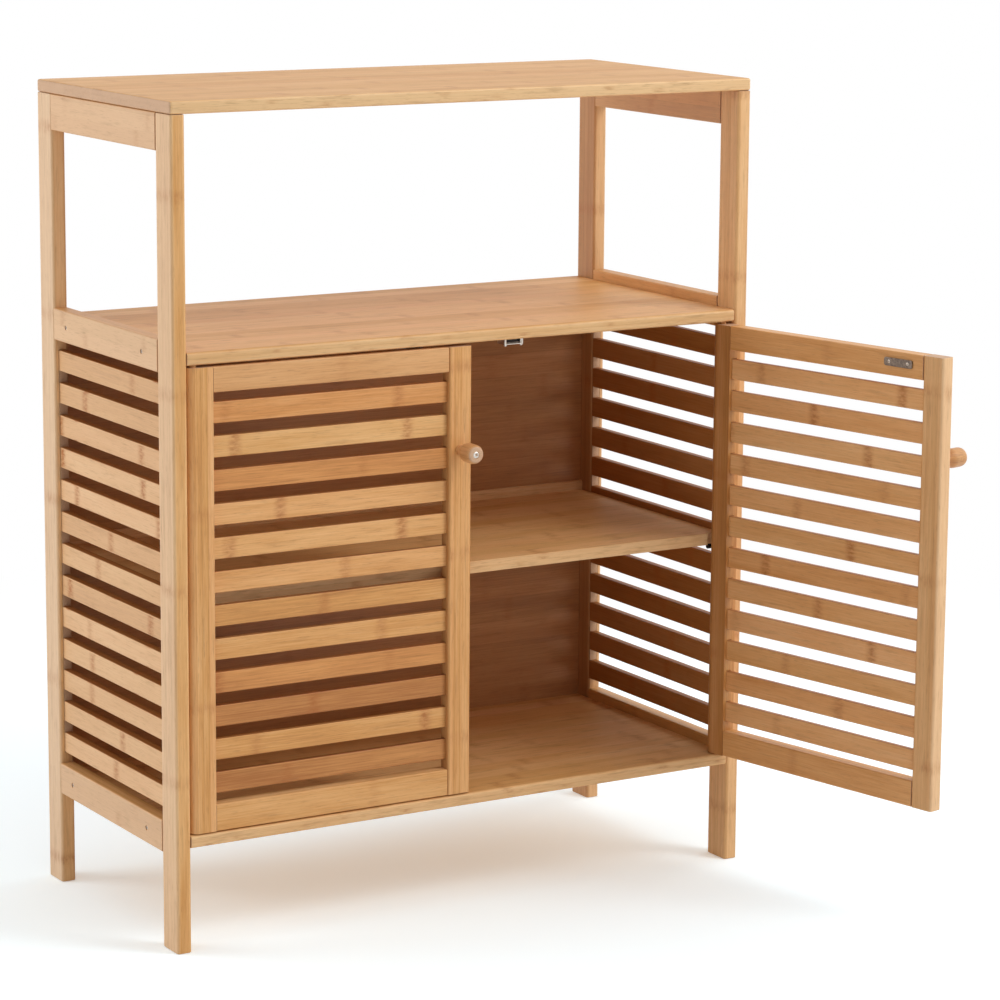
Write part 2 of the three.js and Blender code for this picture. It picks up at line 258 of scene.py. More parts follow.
bambooColours = {
    "brown": "#ad733c",
    "honey": "#d49d5c",
    "straw": "#e6b77c",
    "pale": "#f2ce99",
    "node": "#a8632f",  # the ring where a leaf sheath grew is a soft orange brown
    "dash": "#8c5a2c",
    "faded": "#dabda0",  # the pale cream that outward faces are painted towards as painted light, and whole pieces towards for a paler tone
    "soaked": "#bea285",  # multiplied over inner faces and slat edges as painted shade, and over whole pieces as a darker tone
    "endGrain": "#c8a88f",
    "endPore": "#8d6440",
    "pinkCane": "#ffe7e4",  # multiplied over the canes that are pinker
}
bambooSizes = {  # millimetres
    "nodeSpacing": 183,
    "nodeHalfWidth": 10,
    "fibre": 1.5,  # bundles are 0.3 to 0.5 in the real cane, drawn broader so that they show
    "fibreLength": 60,
    "dash": 0.8,
    "dashLength": 15,
    "smear": 5,
    "smearLength": 42,
    "drift": 22,
    "driftLength": 170,
    "blotch": 3,
    "blotchLength": 8,
    "pore": 0.9,
}
bambooShades = {  # how much each adds to a strip's shade, and the level that brings their sum around zero
    "cane": 0.2, "fibre": 0.6, "drift": 0.5, "bark": -0.15, "level": -0.63,
}
bambooMarks = {  # where its pattern begins to show as a mark, where it shows in full, and the most it covers
    "dash": (0.56, 0.72, 0.28),
    "smear": (0.52, 0.74, 0.4),
    "layerLine": (0.44, 0.5, 0.16),
    "stripLine": (0.485, 0.5, 0.15),
}


def markFrom(tree, value, mark):
    begin, full, cover = mark
    return addNode(tree, "ShaderNodeMapRange", {"interpolation_type": "SMOOTHSTEP"},
                   {"Value": value, "From Min": begin, "From Max": full, "To Max": cover})


def bambooGroup(colours, sizes, shades, marks):
    # Place is in millimetres: X along the grain, Y across a strip's face, Z through the layers
    tree = bpy.data.node_groups.new("laminated bamboo", "ShaderNodeTree")
    for name in ("Place", "Facing", "Outward"):
        tree.interface.new_socket(name, in_out="INPUT", socket_type="NodeSocketVector")
    for name in ("Strip", "Layer", "Seed", "Tone", "Pink", "Scatter", "Node shift", "Nodes", "Contrast",
                 "Smears", "Lift", "Fade", "Fade all", "Soak", "Soak all", "Edge shade", "Roughness"):
        tree.interface.new_socket(name, in_out="INPUT", socket_type="NodeSocketFloat")
    tree.interface.new_socket("Color", in_out="OUTPUT", socket_type="NodeSocketColor")
    for name in ("Roughness", "Height"):
        tree.interface.new_socket(name, in_out="OUTPUT", socket_type="NodeSocketFloat")
    given = addNode(tree, "NodeGroupInput", {}, {}).outputs
    seedX = addNode(tree, "ShaderNodeMath", {"operation": "MULTIPLY"}, {0: given["Seed"], 1: 371.0})
    seedY = addNode(tree, "ShaderNodeMath", {"operation": "MULTIPLY"}, {0: given["Seed"], 1: 53.0})
    seeded = addNode(tree, "ShaderNodeCombineXYZ", {}, {0: seedX, 1: seedY})
    place = addNode(tree, "ShaderNodeVectorMath", {"operation": "ADD"}, {0: given["Place"], 1: seeded})

    # noises stretched along the grain: fibres, short dashes, smears, slow drift and the nodes' blotches
    noise = {}
    for number, (name, detail) in enumerate((("fibre", 4.0), ("dash", 2.0), ("smear", 3.0), ("drift", 2.0),
                                             ("blotch", 3.0))):
        along, across = 1 / sizes[name + "Length"], 1 / sizes[name]
        stretched = addNode(tree, "ShaderNodeMapping", {}, {"Vector": place, "Scale": (along, across, across),
                                                            "Location": (3.1 * number, 5.3 * number, 0)})
        noise[name] = addNode(tree, "ShaderNodeTexNoise", {},
                              {"Vector": stretched, "Detail": detail, "Scale": 1.0,
                               "Roughness": 0.6}).outputs["Fac"]

    # which strip this is, and what that cane is like
    split = addNode(tree, "ShaderNodeSeparateXYZ", {}, {0: given["Place"]}).outputs
    across = addNode(tree, "ShaderNodeMath", {"operation": "DIVIDE"}, {0: split[1], 1: given["Strip"]})
    through = addNode(tree, "ShaderNodeMath", {"operation": "DIVIDE"}, {0: split[2], 1: given["Layer"]})
    stripNumber = addNode(tree, "ShaderNodeMath", {"operation": "FLOOR"}, {0: across})
    layerNumber = addNode(tree, "ShaderNodeMath", {"operation": "FLOOR"}, {0: through})
    caneKey = addNode(tree, "ShaderNodeCombineXYZ", {}, {0: stripNumber, 1: layerNumber, 2: given["Seed"]})
    cane = addNode(tree, "ShaderNodeTexWhiteNoise", {"noise_dimensions": "3D"}, {"Vector": caneKey})
    caneParts = addNode(tree, "ShaderNodeSeparateColor", {}, {0: cane.outputs["Color"]}).outputs

    # the cane's nodes: where along the grain the nearest one is, how strong it is, and its mottled stain
    reach = addNode(tree, "ShaderNodeMath", {"operation": "MULTIPLY"}, {0: given["Scatter"], 1: 911.0})
    along = addNode(tree, "ShaderNodeMath", {"operation": "MULTIPLY_ADD"},
                    {0: caneParts[1], 1: reach, 2: split[0]})
    along = addNode(tree, "ShaderNodeMath", {"operation": "SUBTRACT"}, {0: along, 1: given["Node shift"]})
    along = addNode(tree, "ShaderNodeMath", {"operation": "MULTIPLY_ADD"},
                    {0: noise["blotch"], 1: 5.0, 2: along})
    counted = addNode(tree, "ShaderNodeMath", {"operation": "DIVIDE"},
                      {0: along, 1: float(sizes["nodeSpacing"])})
    nodeNumber = addNode(tree, "ShaderNodeMath", {"operation": "ROUND"}, {0: counted})
    nodeKey = addNode(tree, "ShaderNodeCombineXYZ", {}, {0: nodeNumber, 1: caneParts[0], 2: given["Seed"]})
    nodeLuck = addNode(tree, "ShaderNodeTexWhiteNoise", {"noise_dimensions": "3D"}, {"Vector": nodeKey})
    nodeStrength = addNode(tree, "ShaderNodeMapRange", {},
                           {"Value": nodeLuck, "From Max": 0.8, "To Min": 0.35})
    off = addNode(tree, "ShaderNodeMath", {"operation": "SUBTRACT"}, {0: counted, 1: nodeNumber})
    off = addNode(tree, "ShaderNodeMath", {"operation": "ABSOLUTE"}, {0: off})
    stain = addNode(tree, "ShaderNodeMapRange", {"interpolation_type": "SMOOTHSTEP"},
                    {"Value": off, "From Max": sizes["nodeHalfWidth"] / sizes["nodeSpacing"],
                     "To Min": 1.0, "To Max": 0.0})
    ring = addNode(tree, "ShaderNodeMapRange", {"interpolation_type": "SMOOTHSTEP"},
                   {"Value": off, "From Max": 1.2 / sizes["nodeSpacing"], "To Min": 1.0, "To Max": 0.0})
    mottle = addNode(tree, "ShaderNodeMapRange", {"interpolation_type": "SMOOTHSTEP"},
                     {"Value": noise["blotch"], "From Min": 0.34, "From Max": 0.68, "To Min": 0.3})
    nodeMask = addNode(tree, "ShaderNodeMath", {"operation": "MULTIPLY"}, {0: stain, 1: mottle})
    nodeMask = addNode(tree, "ShaderNodeMath", {"operation": "MULTIPLY"}, {0: nodeMask, 1: nodeStrength})
    nodeMask = addNode(tree, "ShaderNodeMath", {"operation": "MULTIPLY", "use_clamp": True},
                       {0: nodeMask, 1: given["Nodes"]})

    # how far a face looks outward, and how far inward
    outwardness = addNode(tree, "ShaderNodeVectorMath", {"operation": "DOT_PRODUCT"},
                          {0: given["Facing"], 1: given["Outward"]})
    inwardness = addNode(tree, "ShaderNodeMath", {"operation": "MULTIPLY"}, {0: outwardness, 1: -1.0})
    outwardness = addNode(tree, "ShaderNodeMath", {"operation": "MAXIMUM"}, {0: outwardness, 1: 0.0})
    inwardness = addNode(tree, "ShaderNodeMath", {"operation": "MAXIMUM"}, {0: inwardness, 1: 0.0})

    # each layer is denser and darker towards the cane's bark, on one side or the other
    inLayer = addNode(tree, "ShaderNodeMath", {"operation": "FRACT"}, {0: through})
    turned = addNode(tree, "ShaderNodeMath", {"operation": "GREATER_THAN"}, {0: caneParts[2], 1: 0.5})
    bark = addNode(tree, "ShaderNodeMath", {"operation": "SUBTRACT"}, {0: turned, 1: inLayer})
    bark = addNode(tree, "ShaderNodeMath", {"operation": "ABSOLUTE"}, {0: bark})
    bark = addNode(tree, "ShaderNodeMath", {"operation": "POWER"}, {0: bark, 1: 3.0})
    shade = addNode(tree, "ShaderNodeMath", {"operation": "MULTIPLY_ADD"},
                    {0: cane.outputs["Value"], 1: shades["cane"], 2: shades["level"]})
    for name, value in (("fibre", noise["fibre"]), ("drift", noise["drift"]), ("bark", bark)):
        shade = addNode(tree, "ShaderNodeMath", {"operation": "MULTIPLY_ADD"},
                        {0: value, 1: shades[name], 2: shade})
    shade = addNode(tree, "ShaderNodeMath", {"operation": "MULTIPLY_ADD"},
                    {0: shade, 1: given["Contrast"], 2: given["Tone"]})
    # outward faces are painted lighter here: a painted highlight on the boards' fronts and the open door's
    # free edge
    shade = addNode(tree, "ShaderNodeMath", {"operation": "MULTIPLY_ADD"},
                    {0: outwardness, 1: given["Lift"], 2: shade})
    shade = addNode(tree, "ShaderNodeMath", {"operation": "ADD"}, {0: shade, 1: 0.5})
    ramp = addNode(tree, "ShaderNodeValToRGB", {}, {0: shade})
    stops = ramp.color_ramp.elements
    stops[0].position, stops[0].color = 0.05, hexToLinear(colours["brown"])
    stops[1].position, stops[1].color = 0.95, hexToLinear(colours["pale"])
    for position, name in ((0.38, "honey"), (0.66, "straw")):
        stops.new(position).color = hexToLinear(colours[name])
    pinker = addNode(tree, "ShaderNodeMath", {"operation": "MULTIPLY_ADD", "use_clamp": True},
                     {0: caneParts[0], 1: 0.35, 2: given["Pink"]})
    colour = addNode(tree, "ShaderNodeMix", {"data_type": "RGBA", "blend_type": "MULTIPLY"},
                     {0: pinker, 6: ramp.outputs[0], 7: hexToLinear(colours["pinkCane"])})

    # painted light and shade: outward faces are painted paler, and inner faces and slat edges darker where
    # shade falls; whole pieces can also be paler or darker in tone
    facing = addNode(tree, "ShaderNodeSeparateXYZ", {}, {0: given["Facing"]}).outputs
    toLayers = addNode(tree, "ShaderNodeMath", {"operation": "ABSOLUTE"}, {0: facing[1]})
    toLayers = addNode(tree, "ShaderNodeMapRange", {"interpolation_type": "SMOOTHSTEP"},
                       {"Value": toLayers, "From Min": 0.6, "From Max": 0.9})
    faded = addNode(tree, "ShaderNodeMath", {"operation": "MULTIPLY_ADD", "use_clamp": True},
                    {0: outwardness, 1: given["Fade"], 2: given["Fade all"]})
    soaked = addNode(tree, "ShaderNodeMath", {"operation": "MULTIPLY_ADD"},
                     {0: inwardness, 1: given["Soak"], 2: given["Soak all"]})
    soaked = addNode(tree, "ShaderNodeMath", {"operation": "MULTIPLY_ADD"},
                     {0: toLayers, 1: given["Edge shade"], 2: soaked})
    colour = addNode(tree, "ShaderNodeMix", {"data_type": "RGBA"},
                     {0: faded, 6: colour, 7: hexToLinear(colours["faded"])})
    for step in range(2):  # past 1, the painted shade and darker tone go on into a second multiply
        once = addNode(tree, "ShaderNodeMath", {"operation": "SUBTRACT", "use_clamp": True},
                       {0: soaked, 1: float(step)})
        colour = addNode(tree, "ShaderNodeMix", {"data_type": "RGBA", "blend_type": "MULTIPLY"},
                         {0: once, 6: colour, 7: hexToLinear(colours["soaked"])})

    # glue lines between layers and strips, dashes, smears and the nodes
    for way, name, strength in ((through, "layerLine", toLayers), (across, "stripLine", given["Scatter"])):
        inside = addNode(tree, "ShaderNodeMath", {"operation": "FRACT"}, {0: way})
        inside = addNode(tree, "ShaderNodeMath", {"operation": "SUBTRACT"}, {0: inside, 1: 0.5})
        inside = addNode(tree, "ShaderNodeMath", {"operation": "ABSOLUTE"}, {0: inside})
        line = addNode(tree, "ShaderNodeMath", {"operation": "MULTIPLY"},
                       {0: markFrom(tree, inside, marks[name]), 1: strength})
        colour = addNode(tree, "ShaderNodeMix", {"data_type": "RGBA"},
                         {0: line, 6: colour, 7: hexToLinear(colours["dash"])})
    dashes = markFrom(tree, noise["dash"], marks["dash"])
    smears = addNode(tree, "ShaderNodeMath", {"operation": "MULTIPLY"},
                     {0: markFrom(tree, noise["smear"], marks["smear"]), 1: given["Smears"]})
    marked = addNode(tree, "ShaderNodeMath", {"operation": "ADD", "use_clamp": True}, {0: dashes, 1: smears})
    colour = addNode(tree, "ShaderNodeMix", {"data_type": "RGBA"},
                     {0: marked, 6: colour, 7: hexToLinear(colours["dash"])})
    colour = addNode(tree, "ShaderNodeMix", {"data_type": "RGBA"},
                     {0: nodeMask, 6: colour, 7: hexToLinear(colours["node"])})

    # end grain shows the fibre bundles as dots
    toEnd = addNode(tree, "ShaderNodeMath", {"operation": "ABSOLUTE"}, {0: facing[0]})
    toEnd = addNode(tree, "ShaderNodeMapRange", {"interpolation_type": "SMOOTHSTEP"},
                    {"Value": toEnd, "From Min": 0.5, "From Max": 0.8})
    flat = addNode(tree, "ShaderNodeMapping", {}, {"Vector": place,
                                                   "Scale": (0, 1 / sizes["pore"], 1 / sizes["pore"])})
    cells = addNode(tree, "ShaderNodeTexVoronoi", {}, {"Vector": flat, "Scale": 1.0})
    pore = addNode(tree, "ShaderNodeMapRange", {"interpolation_type": "SMOOTHSTEP"},
                   {"Value": cells.outputs["Distance"], "From Min": 0.12, "From Max": 0.42,
                    "To Min": 1.0, "To Max": 0.0})
    crowd = addNode(tree, "ShaderNodeMath", {"operation": "MULTIPLY_ADD"}, {0: bark, 1: 0.5, 2: 0.28})
    pore = addNode(tree, "ShaderNodeMath", {"operation": "MULTIPLY"}, {0: pore, 1: crowd})
    dots = addNode(tree, "ShaderNodeMix", {"data_type": "RGBA"},
                   {0: pore, 6: hexToLinear(colours["endGrain"]), 7: hexToLinear(colours["endPore"])})
    dots = addNode(tree, "ShaderNodeMix", {"data_type": "RGBA"}, {0: 0.25, 6: dots, 7: colour})
    colour = addNode(tree, "ShaderNodeMix", {"data_type": "RGBA"}, {0: toEnd, 6: colour, 7: dots})

    rough = addNode(tree, "ShaderNodeMath", {"operation": "MULTIPLY_ADD"},
                    {0: noise["fibre"], 1: 0.14, 2: given["Roughness"]})
    rough = addNode(tree, "ShaderNodeMath", {"operation": "MULTIPLY_ADD"}, {0: toEnd, 1: 0.12, 2: rough})
    tall = addNode(tree, "ShaderNodeMath", {"operation": "MULTIPLY_ADD"},
                   {0: dashes, 1: -1.6, 2: noise["fibre"]})
    tall = addNode(tree, "ShaderNodeMath", {"operation": "MULTIPLY_ADD"}, {0: ring, 1: 0.3, 2: tall})
    addNode(tree, "NodeGroupOutput", {}, {"Color": colour, "Roughness": rough, "Height": tall})
    return tree


bamboo = bambooGroup(bambooColours, bambooSizes, bambooShades, bambooMarks)

# rows are the directions along the grain, across a strip's face and through the layers
grainLay = {
    "board": ((1, 0, 0), (0, 1, 0), (0, 0, 1)),
    "leg": ((0, 0, 1), (1, 0, 0), (0, 1, 0)),
    "stile": ((0, 0, 1), (0, 1, 0), (-1, 0, 0)),
    "sideBar": ((0, 1, 0), (0, 0, 1), (1, 0, 0)),
    "frontBar": ((1, 0, 0), (0, 0, 1), (0, -1, 0)),
    "knob": ((0, -1, 0), (1, 0, 0), (0, 0, -1)),
}
hinges = {joint["name"]: joint for joint in frame["joints"]}
leftPivot, rightPivot = (Vector(hinges[door + "_hinge"]["pos_m"]) for door in ("left_door", "right_door"))
closeTurn = Matrix.Rotation(math.radians(hinges["right_door_hinge"]["range_deg"][0]), 4, "Z")
closeRightDoor = Matrix.Translation(rightPivot) @ closeTurn @ Matrix.Translation(-rightPivot)
openRightDoor = closeRightDoor.inverted()
# a place x on the left door is this minus x on the closed right door, in millimetres
doorMirror = (leftPivot.x + rightPivot.x) / mm


def boxOf(nodeName):
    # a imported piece's low and high corner, in millimetres
    return [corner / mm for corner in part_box(nodeName)]


def bambooMaterial(name, piece, settings):
    # the pattern starts at the piece's own corner and is turned to its grain
    rows = Matrix(grainLay[settings["lay"]]).to_4x4()
    turn = rows @ closeRightDoor if settings.get("onRightDoor") else rows
    low = [min((turn @ v.co)[i] for v in piece.data.vertices) for i in range(3)]
    euler = turn.to_3x3().to_euler("XYZ")
    shift = (turn.to_translation() - Vector(low)) / mm
    # the cabinet's pieces face out to its nearer side
    side = -1 if sum(v.co.x for v in piece.data.vertices) < 0 else 1
    outward = turn.to_3x3() @ Vector(settings.get("outward", (side, 0, 0)))
    material = bpy.data.materials.new(name)
    material.use_nodes = True
    tree = material.node_tree
    tree.nodes.clear()
    where = addNode(tree, "ShaderNodeTexCoord", {}, {})
    place = addNode(tree, "ShaderNodeMapping", {}, {"Vector": where.outputs["Object"], "Location": shift,
                                                    "Rotation": euler, "Scale": (1 / mm, 1 / mm, 1 / mm)})
    facing = addNode(tree, "ShaderNodeMapping", {}, {"Vector": where.outputs["Normal"], "Rotation": euler})
    group = addNode(tree, "ShaderNodeGroup", {"node_tree": bamboo},
                    {"Place": place, "Facing": facing, "Outward": outward,
                     "Strip": float(settings["strip"]), "Layer": float(settings["layer"]),
                     "Seed": float(settings["seed"]), "Tone": float(settings.get("tone", 0)),
                     "Pink": float(settings.get("pink", 0.12)), "Scatter": float(settings.get("scatter", 0)),
                     "Node shift": float(settings.get("nodeAt", 120)),
                     "Contrast": float(settings.get("contrast", 1)),
                     "Nodes": float(settings.get("nodes", 1)), "Smears": float(settings.get("smears", 0.5)),
                     "Lift": float(settings.get("lift", 0)),
                     "Fade": float(settings.get("fade", 0)), "Fade all": float(settings.get("fadeAll", 0)),
                     "Soak": float(settings.get("soak", 0)), "Soak all": float(settings.get("soakAll", 0)),
                     "Edge shade": float(settings.get("sawn", 0)), "Roughness": float(settings.get("rough", 0.36))})
    bump = addNode(tree, "ShaderNodeBump", {}, {"Height": group.outputs["Height"], "Strength": 0.5,
                                                "Distance": 0.05 * mm})
    lacquer = addNode(tree, "ShaderNodeBsdfPrincipled", {},
                      {"Base Color": group.outputs["Color"], "Roughness": group.outputs["Roughness"],
                       "Specular IOR Level": float(settings.get("gloss", 0.35)),
                       "Normal": bump.outputs[0], "IOR": 1.5})
    addNode(tree, "ShaderNodeOutputMaterial", {}, {"Surface": lacquer.outputs[0]})
    return material


# Wooden pieces: each imported solid is copied, its triangles merged and its ends eased

# Some settings paint light and shade into the colour: a piece's outward faces can be painted paler and
# lighter as painted light, and its inner faces and slat edges darker as painted shade.
woodSettings = {  # strips, layers and eased edges in millimetres
    "legs": {"lay": "leg", "strip": 40, "layer": 6.4, "ease": 0.8, "tone": 0.05, "pink": -0.1, "fade": 0.5,
             "nodes": 0.5},
    "stiles": {"lay": "stile", "strip": 40, "layer": 6.25, "ease": 0.4, "nodes": 0.4},
    "boards": {"lay": "board", "strip": 21, "layer": 6, "ease": 0.5, "scatter": 1, "tone": 0.07,
               "contrast": 0.75, "pink": -0.1, "outward": (0, -1, 0), "lift": 0.2, "fade": 0.1,
               "smears": 0.7, "nodes": 0.45, "rough": 0.42},
    "sideRails": {"lay": "sideBar", "strip": 15.5, "layer": 5, "ease": 0.4, "scatter": 1, "contrast": 0.7,
                  "pink": -0.05, "fade": 0.5, "nodes": 0.3},
    "sideSlats": {"lay": "sideBar", "strip": 32, "layer": 20, "ease": 0.4, "scatter": 1, "tone": 0.08,
                  "fade": 0.4, "soak": 0.85, "sawn": 1.3, "gloss": 0.15},
    "doorRails": {"lay": "frontBar", "strip": 40, "layer": 5, "ease": 0.4, "nodes": 0.3},
    "slats": {"lay": "frontBar", "strip": 40, "layer": 20, "ease": 0.4, "tone": 0.12, "pink": 0.35,
              "sawn": 0.9, "nodes": 0.8},
    # the back panel is darker all over: partly its own darker tone, partly painted shade of the closed
    # cupboard
    "panel": {"lay": "frontBar", "strip": 24, "layer": 8, "ease": 0.4, "scatter": 1, "tone": -0.15,
              "pink": 0.4, "fadeAll": 0.2, "soakAll": 0.4, "nodes": 0.3, "rough": 0.26, "gloss": 0.25},
}
# what single pieces have of their own, such as a tone, a pinker cane, or a node at a measured place, and the
# painted light and painted shade noted on some of them
woodTouches = {
    "left_door_slat_12": {"tone": -0.17, "pink": 0.3, "nodeAt": 20},
    "left_door_slat_11": {"tone": 0.06, "pink": 0, "nodeAt": 30},
    "left_door_slat_10": {"tone": -0.2, "pink": 0.5, "nodeAt": 165},
    "left_door_slat_9": {"tone": 0, "pink": 0.1, "nodeAt": 77},
    "left_door_slat_8": {"tone": 0.08, "pink": 0.1, "nodeAt": 24},
    "left_door_slat_7": {"tone": -0.09, "pink": 0.1, "nodeAt": 146},
    "left_door_slat_6": {"tone": -0.04, "pink": 0.2, "nodeAt": 123},
    "left_door_slat_5": {"tone": -0.04, "pink": 0.1, "nodeAt": 185},
    "left_door_slat_4": {"tone": -0.3, "pink": 0.25, "nodeAt": 193},
    "left_door_slat_3": {"tone": -0.32, "pink": 0.25, "soakAll": 0.1, "nodeAt": 112},
    "left_door_slat_2": {"tone": -0.1, "pink": 0.1, "nodeAt": 233},
    "left_door_slat_1": {"tone": -0.34, "pink": 0.25, "soakAll": 0.05, "nodeAt": 83},
    "left_door_bottom_rail": {"tone": 0.12},
    "left_door_top_rail": {"tone": 0.02, "fadeAll": 0.15},
    "right_door_slat_8": {"tone": 0.24},
    "right_door_slat_10": {"tone": 0.2},
    "right_door_slat_11": {"tone": 0.2},
    # a darker tone, and its inner face painted darker as painted shade
    "right_door_hinge_stile": {"tone": -0.1, "outward": (0.978, 0.208, 0), "soak": 0.6},
    # the stile's inner side, seen between the slats, painted darker as painted shade
    "left_door_free_stile": {"outward": (1, 0, 0), "soak": 0.5},
    # the open door's front edge painted lighter and paler: painted light
    "right_door_free_stile": {"outward": (-0.208, -0.978, 0), "lift": 0.2, "fade": 0.4},
    "leg_front_left": {"tone": 0.1, "nodeAt": 350},
    "leg_front_right": {"fadeAll": 0.15},
    # its inner face inside the cupboard painted darker: painted shade
    "leg_back_right": {"tone": 0, "fadeAll": 0.25, "soak": 0.65},
    # tone raised to make up for the shadow a lamp casts on its front, a painted light; its inner face painted
    # darker as painted shade
    "leg_back_left": {"tone": 0.2, "fadeAll": 0.15, "soak": 0.65},
    # its front edge painted lighter: a painted highlight
    "top_board": {"tone": -0.06, "lift": 0.45},
    # tone raised to make up for too little light inside the cupboard: painted light
    "inner_shelf": {"tone": 0.12, "gloss": 0.15, "pink": 0},
    "back_rail": {"tone": 0.18},
    # tone raised to make up for too little light inside the cupboard: painted light
    "bottom_board": {"tone": 0.16, "gloss": 0.15, "pink": 0},
    "top_rail_right": {"tone": -0.1, "fadeAll": 0.25},
}


def familyOf(name):
    for word, family in (("leg_", "legs"), ("stile", "stiles"), ("door_top_rail", "doorRails"),
                         ("door_bottom_rail", "doorRails"), ("door_slat", "slats"),
                         ("side_slats", "sideSlats"), ("back_rail", "doorRails"), ("panel", "panel"),
                         ("rail", "sideRails")):
        if word in name:
            return family
    return "boards"


mergeSettings = {"distance": 0.01 * mm, "flatDegrees": 1}
easeSettings = {"endSlack": 0.02 * mm, "sharpDegrees": 55, "segments": 2}


def mergedCopy(nodeName, pieceName):
    piece = bpy.data.objects.new(pieceName, frame["nodes"][nodeName].data.copy())
    bpy.context.scene.collection.objects.link(piece)
    editMesh(piece, "VERT")
    bpy.ops.mesh.select_all(action="SELECT")
    bpy.ops.mesh.remove_doubles(threshold=mergeSettings["distance"])
    bpy.ops.mesh.dissolve_limited(angle_limit=math.radians(mergeSettings["flatDegrees"]))
    leaveEdit()
    soloSelect(piece)
    bpy.ops.mesh.customdata_custom_splitnormals_clear()
    return piece


def easeEnds(piece, direction, width, everywhere=False):
    # sharp edges round both ends of the grain get a small round
    mesh = editMesh(piece, "EDGE")
    slack, sharp = easeSettings["endSlack"], math.radians(easeSettings["sharpDegrees"])
    reach = [v.co.dot(direction) for v in mesh.verts]
    low, high = min(reach), max(reach)

    def onEnd(vert):
        along = vert.co.dot(direction)
        return along - low < slack or high - along < slack

    def wanted(edge):
        if len(edge.link_faces) != 2 or not edge.is_convex or edge.calc_face_angle() < sharp:
            return False
        return everywhere or all(onEnd(v) for v in edge.verts)

    pick(piece, mesh.edges, wanted)
    bpy.ops.mesh.bevel(offset=width, segments=easeSettings["segments"], profile=0.5, affect="EDGES",
                       clamp_overlap=False)
    leaveEdit()


# Screws: turned heads with a cross recess, modelled once each and copied

def turnedPiece(name, profile, sides=48):
    # the profile runs up the axis in (radius, height), millimetres
    radius, height = profile[0]
    bpy.ops.object.select_all(action="DESELECT")
    bpy.ops.mesh.primitive_circle_add(vertices=sides, radius=radius * mm, fill_type="NGON",
                                      location=(0, 0, height * mm))
    piece = placed(bpy.context.object)
    piece.name = name
    editMesh(piece, "FACE")
    bpy.ops.mesh.select_all(action="SELECT")
    for nextRadius, nextHeight in profile[1:]:
        bpy.ops.mesh.extrude_region_move(TRANSFORM_OT_translate={"value": (0, 0, (nextHeight - height) * mm)})
        bpy.ops.transform.resize(value=(nextRadius / radius, nextRadius / radius, 1))
        radius, height = nextRadius, nextHeight
    leaveEdit()
    recalculated(piece)
    return piece


def subtract(piece, cutter):
    cut = piece.modifiers.new("cut", "BOOLEAN")
    cut.operation = "DIFFERENCE"
    cut.solver = "EXACT"
    cut.object = cutter
    soloSelect(piece)
    bpy.ops.object.modifier_apply(modifier=cut.name)
    bpy.data.objects.remove(cutter)


def crossCutter(reach, width, depth, top):
    # two crossed blades that narrow downwards, as a driver's tip does
    blades = []
    for turn in (0, 90):
        bpy.ops.object.select_all(action="DESELECT")
        bpy.ops.mesh.primitive_cube_add(size=1, location=(0, 0, (top - depth / 2) * mm))
        blade = bpy.context.object
        blade.scale = (reach * mm, width * mm, (depth + 0.4) * mm)
        blade.rotation_euler = (0, 0, math.radians(turn))
        placed(blade)
        mesh = editMesh(blade, "FACE")
        pick(blade, mesh.faces, lambda face: face.normal.z < -0.9)
        bpy.ops.transform.resize(value=(0.45, 0.45, 1))
        leaveEdit()
        blades.append(blade)
    first, second = blades
    union = first.modifiers.new("both blades", "BOOLEAN")
    union.operation = "UNION"
    union.solver = "EXACT"
    union.object = second
    soloSelect(first)
    bpy.ops.object.modifier_apply(modifier=union.name)
    bpy.data.objects.remove(second)
    return first


def screwHead(name, settings):
    # one screw's master, with its driver's recess
    profile = settings["profile"]
    head = turnedPiece(name, profile)
    top = max(height for radius, height in profile)
    subtract(head, crossCutter(settings["crossReach"], settings["crossWidth"], settings["crossDepth"], top))
    smoothShading(head, 35)
    return head


def copyTo(master, name, place, turn=None):
    # a copy with its own mesh, turned and moved in the mesh itself
    piece = bpy.data.objects.new(name, master.data.copy())
    bpy.context.scene.collection.objects.link(piece)
    piece.matrix_world = Matrix.Translation(Vector(place) * mm) @ (turn or Matrix())
    bpy.context.view_layer.update()
    return placed(piece)


def openOut(piece):
    # from the closed right door's place to the open one's
    piece.matrix_world = openRightDoor @ piece.matrix_world
    bpy.context.view_layer.update()
    return placed(piece)


